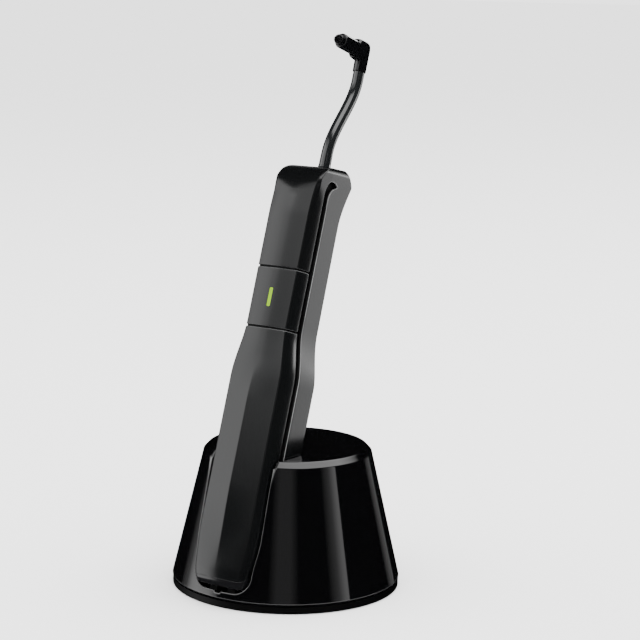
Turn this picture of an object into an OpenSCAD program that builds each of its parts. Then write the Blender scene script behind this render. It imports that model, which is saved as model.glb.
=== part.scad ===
// Powered toothbrush leaning in the cradle of a conical charging stand.
// Millimetres, Z up, front of the stand towards -Y, origin on the table under the stand's axis.

/* [Charging stand] */
// Radius of the stand at its foot
stand_foot_r = 45; // [43:0.5:47]
// Radius of the stand's wall where the rim bevel starts
stand_rim_r = 33.1; // [32:0.1:34]
// Height of the stand's top face
stand_h = 55.6; // [54:0.1:58]
// Height of the polished rim bevel
rim_bevel_h = 2.4; // [1.5:0.1:3]
// Wall thickness of the stand
stand_wall = 2.2; // [1.8:0.1:2.4]
// Height at which the wall stands on the floor plate
plate_top = 2.8; // [2.6:0.1:3]

/* [Cradle] */
// Backward lean of the handset in the stand, in degrees
lean = 17.5; // [16:0.1:18]
// Where the bottom of the handset's own axis stands, behind the stand's axis
seat_y = -37.6; // [-38:0.1:-37]
// Height of that point above the table
seat_z = 6.1; // [6:0.1:7]
// Free space between the handset and the cradle wall
cradle_gap = 0.7; // [0.5:0.1:0.9]

/* [Handset body] */
// Width of the grip
grip_w = 27.6; // [26.8:0.1:27.8]
// Width of the slim part above the waist
slim_w = 21.4; // [21.2:0.1:22]
// Wall thickness of the rear moulding
body_wall = 1.8; // [1.7:0.1:1.9]
// Wall thickness of the front covers
cover_wall = 1.2; // [1:0.1:1.2]
// Depth of the side groove between the front and rear mouldings
groove_depth = 1.5; // [1.4:0.1:1.6]
// Height of the ridge down the middle of the grip
ridge_h = 1; // [0.2:0.1:1.2]

/* [Front covers] */
// Distance from the bottom to the joint between the grip cover and the button
low_seam = 99.9; // [99:0.1:101]
// Distance from the bottom to the joint above the button
high_seam = 123.4; // [122.8:0.1:124]
// Width of the joints at both ends of the button
seam_gap = 0.5; // [0.4:0.1:0.7]
// Length of the indicator window
lens_l = 7.8; // [6:0.1:9]
// Width of the indicator window
lens_w = 2.2; // [1.6:0.1:2.6]

/* [Drive] */
// Throw of the eccentric pin
throw = 0.6; // [0.4:0.1:0.6]
// Radius of the oscillating drive shaft
shaft_r = 1.3; // [1.2:0.05:1.35]
// Running clearance of the shafts in their bearings, on the radius
run_gap = 0.05; // [0.03:0.01:0.08]

/* [Brush] */
// Radius of the bent neck
neck_r = 2.3; // [2.2:0.05:2.5]
// How far the neck bends backwards
neck_bend = 10.7; // [8:0.1:12]
// Distance from the handset's bottom to the axis of the brush barrel
barrel_s = 217; // [215:0.5:219]
// Radius of the brush barrel
barrel_r = 3.05; // [2.8:0.05:3.3]

/* [Hidden] */
$fn = 64;

eps = 0.01;
slope = (stand_foot_r - stand_rim_r) / (stand_h - rim_bevel_h - plate_top);
plate_z = 0.3;         // underside of the floor plate
plate_r = stand_foot_r - 0.4;
pad_ring_r = 35;       // radius of the ring of rubber feet
pad_r = 5;
pad_h = 1.1;
post_r = 2;
board_z = 10.4;        // underside of the charger board
board_t = 1.6;
inlet_z = 13.9;        // middle of the power inlet
inlet_y = 34.4;        // its front end
inlet_w = 9;
inlet_h = 3.3;
inlet_l = 7.4;
cradle_back = 13;      // back wall of the cradle, in the handset's own Y
cradle_wall = 1.2;
coil_gap = 0.3;        // air between the cradle and the transmitting coil
send_coil_y = cradle_back + cradle_wall + coil_gap;
send_coil_t = 2;
send_ferrite_y = send_coil_y + send_coil_t + 0.1;
send_ferrite_t = 1.2;
bracket_y = send_ferrite_y + send_ferrite_t + 0.1;
bracket_half_w = 14.6;
bracket_half_h = 12;
// The handset's own coordinates: X across, Y from its front to its back, Z along its length.
groove_front = -2.4;   // Y of the groove's front edge
groove_rear = 0.6;     // Y of the groove's rear edge
cap_h = 2.5;           // height of the end cap's visible band
slim_half = slim_w / 2;
grip_half = grip_w / 2;
back_y = 12;           // Y of the flat back
heel_y = 4.2;          // Y where the sloping heel starts
heel_h = 6;            // height of that heel
back_crown = 0.5;      // rise of the back's crown
hook_top = 160.2;      // top of the groove's hook
top_s = 165.4;         // front edge of the top face
head_roll = 154.5;     // where the front starts to roll over into the top
roll_depth = 8.5;      // how far back that roll reaches
shaft_y = 8.8;         // Y of the drive shaft and of the neck's foot
motor_y = 1;           // Y of the motor's axis
battery_y = 0.6;
battery_r = 7.1;
board_y = -3.4;        // front face of the control board
lens_s = 111.6;        // middle of the indicator window
switch_s = 105.2;      // middle of the push switch
coil_s = 28;           // middle of both charging coils
coil_r = 10.5;
coil_bore_r = 4;
receive_coil_y = 8.4;
motor_s = 122.6;       // lower end of the motor's can
motor_r = 7.75;
motor_flat = 6;        // half width across the motor's flats
motor_l = 23.6;
motor_screw_x = 4.5;
motor_shaft_r = 0.75;
crank_r = 2.9;
pin_r = 0.8;
fork_half = 2.3;       // half width of the fork's slot, clear of the pin at every pose
lever_half = 3.4;
lever_t = 2.4;
bush_r = 2.6;
bush_l = 2.6;
seal_r = 3.2;
cap_screw_x = 6;
cap_screw_y = -1.5;
neck_foot = 166.6;     // bottom of the neck
neck_top = 208;        // where the neck enters the brush head
socket_top = 177;      // top of the shaft socket in the neck
flat_s = 170;          // where the flat on the drive shaft starts
head_y = shaft_y + neck_bend;
block_half = 2.6;      // half width of the brush head's block
block_r = 4.3;         // half height of that block
block_round = 1.7;
tenon_r = 1.8;
cup_r = 2.1;
tuft_r = 1.5;
crank_s = 148.4;       // bottom of the crank disc
lever_s = 153.2;       // bottom of the lever
screw_ring_r = 38;     // radius of the ring of floor screws
SCREW_TURNS = [45, 135, 225, 315];
POSTS = [[-11, 12], [11, 12], [-11, 30], [11, 30]];
STATIONS = [0, 2.5, 6, 10, 16, 23, 28, 34, 50, 66, 72, 78, 82, 85, 88, 91, 94, 98, 102, 110, 124, 136,
  145, 150, 153, 155, 157, 159, 160.4, 161.5, 162.6, 163.8, 164.6];

// Soft step from 0 at a to 1 at b
function soft(t) = t * t * (3 - 2 * t);
function ramp(s, a, b) = soft(min(1, max(0, (s - a) / (b - a))));
function slim(s) = ramp(s, 80, 102);
// Rounding of the flanks near the end of the head
function head_inset(s) = s < 163 ? 0 : 2.2 - sqrt(max(0, 2.2 * 2.2 - pow(s - 163, 2) * 0.7));
// Half widths at the bevel's rear edge, at the bevel's front edge and at the back
function half_w(s) = grip_half - (grip_half - slim_half) * slim(s) - 2.1 * (1 - ramp(s, -4, 24))
  - head_inset(s);
function face_w(s) = half_w(s) - 1.3 - 0.9 * (1 - slim(s));
function rear_w(s) = half_w(s) - 0.2 * slim(s) - 0.3 * ramp(s, 80, 90) * (1 - ramp(s, 90, 104));
function ridge(s) = ramp(s, 22, 34) * (1 - ramp(s, 72, 90));
// How far the front stands out, with the roll-over into the top
function roll(s) = s < head_roll ? 0
  : roll_depth * (1 - sqrt(max(0, 1 - pow((s - head_roll) / (top_s - head_roll), 2))));
function front_y(s) = 9.2 - 0.6 * slim(s) - 0.7 * ramp(s, 145, 157) - roll(s)
  - 1.2 * (1 - ramp(s, 0, 7));
function crown_y(s) = front_y(s) + 1.3 * (1 - ramp(s, 145, 160)) + ridge_h * ridge(s);
// The back swells at the head and is cut away at the bottom, where the cradle leans under it
function back_at(s) = s < heel_h ? heel_y + (back_y - heel_y) * s / heel_h
  : s < 145 ? back_y - 0.4 * ramp(s, 80, 145)
  : s < 160.4 ? 11.6 + 4 * pow((s - 145) / 15.4, 1.6)
  : 15.6 - 4.8 * pow((s - 160.4) / (top_s - 160.4), 1.3);
// The top face falls slightly towards the front
function top_fall(s) = 0.11 * ramp(s, 158, top_s);

// One cross-section of the body, t inside its outer face, as [x, y] points all the way round
function half_ring(s, t) = let(
    w = half_w(s) - t, f = face_w(s) - 0.7 * t, r = rear_w(s) - t,
    y = front_y(s) - t, c = crown_y(s) - t, b = back_at(s) - t,
    edge = -min(6.5 - 0.4 * t, y - 0.4), g1 = max(groove_front, edge + 0.3), g2 = max(groove_rear, g1 + 0.3))
  [[0, -c], [f / 2, -(y + (c - y) * (0.75 - 0.25 * ridge(s)))], [f, -y],
   [w, edge], [w, g1], [w, g2],
   [r, b - 1.1], [r - 0.3, b - 0.35], [r - 1.1, b], [r / 2, b + back_crown * 0.75],
   [0, b + back_crown]];
function ring(s, t) = let(h = half_ring(s, t), n = len(h))
  concat(h, [for (i = [n - 2 : -1 : 1]) [-h[i][0], h[i][1]]]);
function placed(s, t) = [for (p = ring(s, t)) [p[0], p[1], s + top_fall(s) * p[1]]];
function between(a, b) = concat([a], [for (s = STATIONS) if (s > a + 0.4 && s < b - 0.4) s], [b]);

module tilt() translate([0, seat_y, seat_z]) rotate([-lean, 0, 0]) children();
module side_pair() for (flip = [0, 1]) mirror([flip, 0, 0]) children();
// A disc or rod whose axis runs from the handset's front to its back
module rod_y(x, y, s, r, l) translate([x, y, s]) rotate([-90, 0, 0]) cylinder(r = r, h = l);
module rod_s(x, y, s, r, l) translate([x, y, s]) cylinder(r = r, h = l);
module box(x0, x1, y0, y1, z0, z1) translate([x0, y0, z0]) cube([x1 - x0, y1 - y0, z1 - z0]);

// A closed solid through rings of points, each ring with its own middle point at the ends
module loft(rings) {
  n = len(rings[0]);
  m = len(rings);
  middle = function (r) [for (k = [0 : 2]) [for (p = r) p[k]] * [for (p = r) 1 / n]];
  points = concat([for (r = rings) each r], [middle(rings[0]), middle(rings[m - 1])]);
  polyhedron(points, concat(
    [for (i = [0 : m - 2], j = [0 : n - 1]) let(k = (j + 1) % n)
      each [[i * n + j, (i + 1) * n + j, (i + 1) * n + k], [i * n + j, (i + 1) * n + k, i * n + k]]],
    [for (j = [0 : n - 1]) [j, (j + 1) % n, m * n]],
    [for (j = [0 : n - 1]) [(m - 1) * n + (j + 1) % n, (m - 1) * n + j, m * n + 1]]));
}
module body(t, a, b) loft([for (s = between(a, b)) placed(s, t)]);
// A strip that follows the flank, from depth t0 to depth t1 and from y0 to y1
module flank_strip(t0, t1, y0, y1, a, b)
  side_pair() loft([for (s = between(a, b)) let(w = half_w(s))
    [[w - t1, y0, s], [w - t0, y0, s], [w - t0, y1, s], [w - t1, y1, s]]]);

// ---------- charging stand ----------

function wall_r(z) = stand_foot_r - slope * (z - plate_top);

module stand_cone() rotate_extrude($fn = 128)
  polygon([[0, plate_top], [stand_foot_r - 0.4, plate_top], [stand_foot_r, plate_top + 0.4],
    [stand_rim_r, stand_h - rim_bevel_h], [stand_rim_r - 0.7, stand_h - 0.9],
    [stand_rim_r - 2.2, stand_h], [stand_rim_r - 3.2, stand_h], [stand_rim_r - 4.4, stand_h - 0.5],
    [0, stand_h - 0.9]]);
module stand_hollow() rotate_extrude($fn = 128)
  polygon([[0, plate_top - eps], [wall_r(plate_top) - stand_wall, plate_top - eps],
    [wall_r(stand_h - 4.4) - stand_wall, stand_h - 4.4], [stand_rim_r - 5.2, stand_h - 3.4],
    [0, stand_h - 3.4]]);
// Outline of the cradle seen from the front, e wider than the running size
module cradle_face(e) polygon(concat(
  [for (p = cradle_side(e)) p], [for (i = [6 : -1 : 0]) [-cradle_side(e)[i][0], cradle_side(e)[i][1]]]));
function cradle_side(e) = let(g = grip_half + cradle_gap + e)
  [[g, 75], [g, 22], [g - 0.5, 14], [g - 1.2, 8], [g - 1.7, 4], [g - 3.4, 0.6 - e * 0.3],
   [g - 7, -1.6 - e * 0.5]];
// Outline of the cradle seen from the side, w outside the running size
module cradle_flank(w) polygon([[-14, 75], [-14, -1.6 - w], [3 + w * 0.5, -1.6 - w],
  [cradle_back + w, 5.5 - w * 0.5], [cradle_back + w, 75]]);
module cradle_space(w) intersection() {
  translate([0, 20, 0]) rotate([90, 0, 0]) linear_extrude(36) cradle_face(w);
  rotate([90, 0, 90]) linear_extrude(60, center = true) cradle_flank(w);
}
// Lead-in bevel along the cradle's edge
module cradle_mouth() hull() {
  translate([0, -4.7, 0]) rotate([90, 0, 0]) linear_extrude(eps) cradle_face(0);
  translate([0, -9.7, 0]) rotate([90, 0, 0]) linear_extrude(eps) cradle_face(5);
}

module stand_shell() color([0.02, 0.02, 0.025]) difference() {
  union() {
    difference() {
      stand_cone();
      stand_hollow();
    }
    intersection() {
      stand_cone();
      tilt() cradle_space(cradle_wall);
    }
    for (turn = SCREW_TURNS) rotate(turn) translate([screw_ring_r, 0, 5.5])
      cylinder(r = 3.4, h = 12, $fn = 32);
  }
  tilt() cradle_space(0);
  tilt() cradle_mouth();
  for (turn = SCREW_TURNS) rotate(turn) translate([screw_ring_r, 0, 5]) cylinder(r = 1.3, h = 9, $fn = 24);
  // drain slot under the handset, and the opening for the power inlet at the back
  tilt() box(-1.5, 1.5, -9, -3, -2.4, -1);
  translate([0, 36, inlet_z]) rotate([-90, 0, 0]) slot_prism(inlet_w + 0.4, inlet_h + 0.4, 12);
}

// A flat-sided prism with round ends, w wide and h high, along Z
module slot_prism(w, h, l) {
  translate([-(w - h) / 2, -h / 2, 0]) cube([w - h, h, l]);
  for (side = [-1, 1]) translate([side * (w - h) / 2, 0, 0]) cylinder(d = h, h = l);
}

module floor_plate() color([0.03, 0.03, 0.035]) difference() {
  union() {
    translate([0, 0, plate_z]) cylinder(r = plate_r, h = 1.7);
    difference() {
      translate([0, 0, plate_z]) cylinder(r = plate_r, h = plate_top - plate_z);
      translate([0, 0, 1]) cylinder(r = plate_r - 3.7, h = plate_top);
    }
    for (turn = SCREW_TURNS) rotate(turn) translate([screw_ring_r, 0, 1.5])
      cylinder(r = 3.6, h = 3.9, $fn = 32);
    for (p = POSTS) translate([p[0], p[1], 1.5]) cylinder(r = post_r, h = board_z - 1.5, $fn = 32);
  }
  for (turn = SCREW_TURNS) rotate(turn) translate([screw_ring_r, 0, 0]) {
    cylinder(r = 2.8, h = 3.3, $fn = 32);
    cylinder(r = 1.5, h = 8, $fn = 32);
  }
  foot_pads();
}
module foot_pads() for (turn = [0 : 90 : 270])
  rotate(turn) translate([pad_ring_r, 0, 0]) cylinder(r = pad_r, h = pad_h);
module rubber_feet() color([0.12, 0.12, 0.12]) foot_pads();
module floor_screws() color([0.75, 0.75, 0.78]) for (turn = SCREW_TURNS)
  rotate(turn) translate([screw_ring_r, 0, 0]) difference() {
    union() {
      translate([0, 0, 1.7]) cylinder(r = 2.5, h = 1.6, $fn = 32);
      translate([0, 0, 3]) cylinder(r = 1.25, h = 10, $fn = 24);
    }
    for (turn2 = [0, 90]) rotate(turn2) translate([-1.4, -0.3, 1.6]) cube([2.8, 0.6, 0.9]);
  }
module ballast_weight() color([0.45, 0.45, 0.47]) difference() {
  translate([0, 0, 2.3]) cylinder(r = 31, h = 4);
  box(-40, 40, -40, -10, 0, 10);
  for (p = POSTS) translate([p[0], p[1], 0]) cylinder(r = post_r + 0.4, h = 10, $fn = 32);
}
module charger_board() color([0.05, 0.3, 0.15]) difference() {
  box(-14, 14, 8, 36, board_z, board_z + board_t);
  for (p = POSTS) translate([p[0], p[1], 10]) cylinder(r = 1.1, h = 3, $fn = 24);
}
module charger_chips() color([0.06, 0.06, 0.07]) {
  box(-3, 3, 12, 18, board_z + board_t, board_z + board_t + 1.2);
  box(5, 9, 20, 26, board_z + board_t, board_z + board_t + 2);
  translate([-7, 24, board_z + board_t]) cylinder(r = 3, h = 6, $fn = 48);
}
module power_inlet() color([0.7, 0.7, 0.72]) translate([0, inlet_y, inlet_z]) rotate([-90, 0, 0]) {
  difference() {
    slot_prism(inlet_w, inlet_h, inlet_l);
    translate([0, 0, 1]) slot_prism(inlet_w - 0.6, inlet_h - 0.6, inlet_l);
  }
  translate([-3.3, -0.35, 0.5]) cube([6.6, 0.7, 5.4]);
  translate([-3, inlet_h / 2 - 0.3, 0.2]) cube([6, 0.55, 4]);
}
module cradle_pads() color([0.15, 0.15, 0.16]) tilt() side_pair() box(2.5, 6, -3, 1.5, -1.6, -0.15);
module transmitting_coil() color([0.72, 0.4, 0.2]) tilt() difference() {
  rod_y(0, send_coil_y, coil_s, coil_r, send_coil_t);
  rod_y(0, send_coil_y - 1, coil_s, coil_bore_r, send_coil_t + 2);
}
module transmitting_ferrite() color([0.2, 0.2, 0.22]) tilt()
  rod_y(0, send_ferrite_y, coil_s, coil_r + 1, send_ferrite_t);
module coil_bracket() color([0.85, 0.85, 0.82]) tilt() {
  box(-bracket_half_w, bracket_half_w, bracket_y, bracket_y + 1.5,
    coil_s - bracket_half_h, coil_s + bracket_half_h);
  side_pair() box(bracket_half_w - 2, bracket_half_w, cradle_back + cradle_wall, bracket_y + 0.5,
    coil_s - bracket_half_h, coil_s + bracket_half_h);
}

// ---------- handset shells ----------

// Side view of the groove's hooked upper end, as [y, s] points
module hook_outline() {
  polygon(concat([[groove_front, high_seam - 1], [groove_front - 0.3, 153]],
    [for (a = [0 : 15 : 90]) [1.6 - 4.3 * cos(a), 153.6 + (hook_top - 153.6) * sin(a)]],
    [[3.6, 160], [5.4, 159]],
    [for (a = [75 : -15 : 0]) [5.2 - 4.9 * cos(a), 152.8 + 5.4 * sin(a)]],
    [[groove_rear, high_seam - 1]]));
}
module hook_groove() side_pair()
  translate([slim_half - groove_depth, 0, 0]) rotate([90, 0, 90]) linear_extrude(4) hook_outline();

module rear_housing() color([0.16, 0.16, 0.17]) tilt() difference() {
  union() {
    difference() {
      body(0, cap_h + 0.1, top_s);
      body(body_wall, cap_h - 1, 156.2);
      box(-20, 20, -20, groove_rear, -1, high_seam + seam_gap / 2);
      hook_groove();
    }
    flank_strip(groove_depth, groove_depth + 1.4, -4, 2.5, 4, high_seam + 2);
    flank_strip(groove_depth, groove_depth + 1.2, -4, 7, high_seam + 1, 156.3);
  }
  // bore for both bushes, and the seal's seat
  rod_s(0, shaft_y, 150, bush_r, 14.5);
  rod_s(0, shaft_y, 164.4, seal_r, 4);
  // room for the lever
  box(-5.5, 5.5, -6, shaft_y, 150, 156.2);
}
module grip_cover() color([0.13, 0.13, 0.14]) tilt() intersection() {
  difference() {
    body(0, cap_h + 0.1, low_seam + 1);
    body(cover_wall, cap_h - 1, low_seam + 2);
  }
  box(-20, 20, -20, groove_front, 0, low_seam - seam_gap / 2);
}
module cover_seal() color([0.1, 0.1, 0.1]) tilt()
  flank_strip(groove_depth - 0.2, groove_depth + 1.4, -5, -4, 8, low_seam - 1);
module end_cap() color([0.02, 0.02, 0.025]) tilt() difference() {
  union() {
    loft([placed(0, 2.4), placed(0.5, 1.2), placed(1.2, 0.6), placed(cap_h, 0.2)]);
    box(-8.3, 8.3, -5.2, 2.8, 1.6, 7);
  }
  side_pair() {
    rod_s(cap_screw_x, cap_screw_y, -1, 1.8, 2.8);
    rod_s(cap_screw_x, cap_screw_y, -1, 0.9, 12);
  }
  box(-4, 4, -3.5, 1.5, 3, 8);
}
module end_cap_seal() color([0.1, 0.1, 0.1]) tilt() difference() {
  box(-9, 9, -5.9, 3.5, 3.2, 4.8);
  box(-8.3, 8.3, -5.2, 2.8, 3, 5);
}
module end_cap_screws() color([0.75, 0.75, 0.78]) tilt() side_pair() {
  rod_s(cap_screw_x, cap_screw_y, 0.6, 1.6, 1.2);
  rod_s(cap_screw_x, cap_screw_y, 1.5, 0.8, 11);
}

// ---------- handset inside ----------

module chassis() color([0.85, 0.85, 0.82]) tilt() difference() {
  union() {
    side_pair() {
      box(7.3, 8.8, -3.5, 5, 8, 86);
      box(6.2, 7.4, -2.3, 5, 82, 147.8);
    }
    box(-8, 8, -4.5, 1.5, 8, 15);
    box(-8, 8, -5, 6, 26.6, 28.2);
    box(-8, 8, -5, 6, 82, 83.6);
    box(-7, 7, -2.3, 6.5, 121, 122.4);
    box(-7, 7, -4, 6.5, 146.4, 147.8);
  }
  side_pair() rod_s(cap_screw_x, cap_screw_y, 7, 0.85, 6);
  rod_s(0, motor_y, 145, 3.2, 4);
  side_pair() rod_s(motor_screw_x, motor_y, 145, 0.85, 4);
  rod_s(0, motor_y, 120, 2.2, 4);
  box(-3, 3, -3, 3, 26, 29);
  box(-3, 3, -3, 3, 81, 84);
}
module battery_cell() color([0.2, 0.45, 0.25]) tilt() {
  rod_s(0, battery_y, 29, battery_r, 49.6);
  rod_s(0, battery_y, 78.6, 2.5, 1);
}
module battery_tabs() color([0.8, 0.8, 0.78]) tilt() {
  box(-3, 3, battery_y - 4, battery_y + 4, 28.6, 29);
  box(-2, 2, battery_y - 3, battery_y + 3, 79.6, 80);
}
module receiving_coil() color([0.72, 0.4, 0.2]) tilt() difference() {
  rod_y(0, receive_coil_y, coil_s, coil_r, 0.9);
  rod_y(0, receive_coil_y - 1, coil_s, coil_bore_r, 3);
}
module receiving_ferrite() color([0.2, 0.2, 0.22]) tilt()
  rod_y(0, receive_coil_y - 0.6, coil_s, coil_r, 0.5);
module control_board() color([0.05, 0.3, 0.15]) tilt() difference() {
  box(-7.2, 7.2, board_y, board_y + 1, 86.5, 118.6);
  side_pair() rod_y(5.5, board_y - 1, 89, 0.8, 3);
}
module controller_chips() color([0.06, 0.06, 0.07]) tilt() {
  box(-2.5, 2.5, board_y - 1, board_y, 91, 96);
  box(3.5, 6, board_y - 0.8, board_y, 106, 110);
  box(-6, -4.4, board_y - 0.6, board_y, 106, 109);
}
module indicator_led() color([0.8, 0.95, 0.3]) tilt()
  box(-0.8, 0.8, board_y - 0.8, board_y, lens_s - 1.6, lens_s + 1.6);
module switch_body() color([0.1, 0.1, 0.11]) tilt() difference() {
  box(-2.3, 2.3, board_y - 1.7, board_y, switch_s - 2.3, switch_s + 2.3);
  rod_y(0, board_y - 2, switch_s, 1.1, 1.7);
}
module switch_plunger() color([0.7, 0.7, 0.7]) tilt() rod_y(0, board_y - 2.4, switch_s, 1, 1.4);
module button_seal() color([0.1, 0.1, 0.1]) tilt() difference() {
  box(-9.1, 9.1, -5.2, -4, low_seam + 1, high_seam - 1);
  box(-7.9, 7.9, -6, -3, low_seam + 2.4, high_seam - 2.4);
}
module power_button() color([0.13, 0.13, 0.14]) tilt() {
  difference() {
    intersection() {
      difference() {
        body(0, low_seam - 1.9, high_seam + 2);
        body(cover_wall, low_seam - 2.9, high_seam + 3);
      }
      box(-20, 20, -20, groove_front, low_seam + seam_gap / 2, high_seam - seam_gap / 2);
    }
    window_prism(-11, -4, 0.05);
  }
  rod_y(0, -9, switch_s, 1.6, 9 + board_y - 2.4);
}
module window_prism(y0, y1, e) translate([0, y0, lens_s]) rotate([-90, 90, 0])
  slot_prism(lens_l + 2 * e, lens_w + 2 * e, y1 - y0);
module indicator_window() color([0.75, 0.95, 0.1]) tilt() {
  window_prism(-9.95, -8, 0);
  rod_y(0, -8.5, lens_s, 1, 3.4);
}

// ---------- drive ----------

module motor() color([0.65, 0.65, 0.67]) tilt() difference() {
  union() {
    intersection() {
      rod_s(0, motor_y, motor_s, motor_r, motor_l);
      box(-motor_flat, motor_flat, -10, 12, 120, 147);
    }
    rod_s(0, motor_y, motor_s + motor_l - 0.2, 3.05, 1.4);
    rod_s(0, motor_y, motor_s - 1.2, 2, 1.4);
  }
  rod_s(0, motor_y, 136, motor_shaft_r + run_gap, 12);
  side_pair() rod_s(motor_screw_x, motor_y, 143.4, 0.8, 3);
}
module motor_screws() color([0.75, 0.75, 0.78]) tilt() side_pair() {
  rod_s(motor_screw_x, motor_y, 143.6, 0.75, 4.4);
  rod_s(motor_screw_x, motor_y, 147.8, 1.3, 0.7);
}
module motor_shaft() color([0.8, 0.8, 0.82]) tilt() rod_s(0, motor_y, 137, motor_shaft_r, 14);
module crank() color([0.78, 0.65, 0.35]) tilt() difference() {
  union() {
    rod_s(0, motor_y, crank_s, crank_r, 2.6);
    rod_s(0, motor_y - throw, crank_s + 2, pin_r, 5.8);
  }
  rod_s(0, motor_y, crank_s - 1, motor_shaft_r, 3.6);
}
module drive_lever() color([0.75, 0.75, 0.72]) tilt() difference() {
  union() {
    rod_s(0, shaft_y, lever_s, 2.1, lever_t);
    box(-lever_half, lever_half, -1.8, shaft_y - 1.2, lever_s, lever_s + lever_t);
  }
  rod_s(0, shaft_y, lever_s - 1, shaft_r, lever_t + 2);
  box(-fork_half, fork_half, -3, 3.4, lever_s - 1, lever_s + lever_t + 1);
}
module drive_shaft() color([0.8, 0.8, 0.82]) tilt() difference() {
  rod_s(0, shaft_y, lever_s - 0.6, shaft_r, 176.4 - lever_s + 0.6);
  box(-3, 3, shaft_y + 0.8, shaft_y + 4, flat_s - 0.5, 180);
}
module bush(s) rod_ring(s, bush_l, bush_r, shaft_r + run_gap);
module rod_ring(s, h, r_out, r_in) difference() {
  rod_s(0, shaft_y, s, r_out, h);
  rod_s(0, shaft_y, s - 1, r_in, h + 2);
}
module lower_bush() color([0.7, 0.5, 0.25]) tilt() bush(156.4);
module upper_bush() color([0.7, 0.5, 0.25]) tilt() bush(161.8);
module shaft_seal() color([0.1, 0.1, 0.1]) tilt()
  rod_ring(164.5, 1.5, seal_r, shaft_r + run_gap);

// ---------- brush ----------

// The neck's middle line: back at distance s, and the ring of points round it
function neck_y(s) = shaft_y + neck_bend * ramp(s, 172.5, 205.5);
function neck_ring(s) = let(d = (neck_y(s + 0.2) - neck_y(s - 0.2)) / 0.4, a = atan(d),
    r = neck_r + 0.2 * (1 - ramp(s, 166, 176)))
  [for (i = [0 : 19]) let(q = i * 18)
    [r * cos(q), neck_y(s) + r * sin(q) * cos(a), s - r * sin(q) * sin(a)]];
NECK = [neck_foot, 170, 173, 175.5, for (s = [178 : 2.5 : 203]) s, 205.5, neck_top + 0.6];

module brush_neck() color([0.06, 0.06, 0.07]) tilt() difference() {
  union() {
    loft([for (s = NECK) neck_ring(s)]);
    rod_s(0, head_y, neck_top - 1, tenon_r - 0.03, 6);
  }
  difference() {
    rod_s(0, shaft_y, neck_foot - 1, shaft_r + run_gap, socket_top - neck_foot + 1);
    box(-3, 3, shaft_y + 0.85, shaft_y + 4, flat_s, 180);
  }
}
module brush_head() color([0.03, 0.03, 0.035]) tilt() difference() {
  union() {
    // block with flat flanks, rounded behind and over its top
    intersection() {
      translate([0, head_y + 2.4, barrel_s]) rotate([90, 0, 0]) rotate_extrude()
        polygon(concat([[0, 0]],
          [for (a = [0 : 15 : 90]) [block_r - block_round * (1 - sin(a)), block_round * (1 - cos(a))]],
          [[block_r, 7.6], [block_r - 0.4, 8.4], [0, 8.4]]));
      union() {
        rod_s(0, head_y - 0.3, 200, block_half, 30);
        box(-block_half, block_half, 10, head_y - 0.3, 200, 230);
      }
    }
    // barrel
    rod_y(0, 3, barrel_s, barrel_r, 13);
    // collar over the neck
    rod_s(0, head_y, neck_top + 0.8, neck_r + 0.35, barrel_s - neck_top - 2);
  }
  rod_s(0, head_y, neck_top, tenon_r, 5.2);
  rod_y(0, 2, barrel_s, cup_r, 4);
}
module tuft_cup() color([0.05, 0.05, 0.06]) tilt() difference() {
  rod_y(0, 1.2, barrel_s, cup_r, 4.8);
  rod_y(0, 0, barrel_s, tuft_r, 5);
}
module bristle_tuft() color([0.1, 0.1, 0.11]) tilt() rod_y(0, -0.4, barrel_s, tuft_r, 5.4);

stand_shell();
floor_plate();
rubber_feet();
ballast_weight();
floor_screws();
cradle_pads();
power_inlet();
charger_board();
charger_chips();
transmitting_coil();
transmitting_ferrite();
coil_bracket();
rear_housing();
grip_cover();
cover_seal();
end_cap();
end_cap_seal();
end_cap_screws();
chassis();
battery_cell();
battery_tabs();
receiving_coil();
receiving_ferrite();
control_board();
controller_chips();
indicator_led();
button_seal();
switch_body();
switch_plunger();
power_button();
indicator_window();
motor();
motor_screws();
motor_shaft();
crank();
drive_lever();
drive_shaft();
lower_bush();
upper_bush();
shaft_seal();
brush_neck();
brush_head();
tuft_cup();
bristle_tuft();
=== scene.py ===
"""Looks for the powered toothbrush and its conical charging stand, in metres, in the CAD frame."""
import math
import random

import bpy
import numpy as np
from mathutils import Matrix, Vector


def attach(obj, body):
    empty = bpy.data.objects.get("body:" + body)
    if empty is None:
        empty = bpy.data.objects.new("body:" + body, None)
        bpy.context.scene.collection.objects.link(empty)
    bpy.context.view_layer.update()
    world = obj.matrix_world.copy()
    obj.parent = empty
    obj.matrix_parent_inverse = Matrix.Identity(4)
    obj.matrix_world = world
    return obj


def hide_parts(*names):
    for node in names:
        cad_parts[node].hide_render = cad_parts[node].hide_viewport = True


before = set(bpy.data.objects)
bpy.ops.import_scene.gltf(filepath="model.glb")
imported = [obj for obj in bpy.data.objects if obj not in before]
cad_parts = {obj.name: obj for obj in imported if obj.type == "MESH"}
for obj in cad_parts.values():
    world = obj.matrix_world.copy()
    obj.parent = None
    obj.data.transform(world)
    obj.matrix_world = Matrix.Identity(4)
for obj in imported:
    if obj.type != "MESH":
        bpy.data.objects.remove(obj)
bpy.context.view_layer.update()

MM = 0.001

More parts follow.
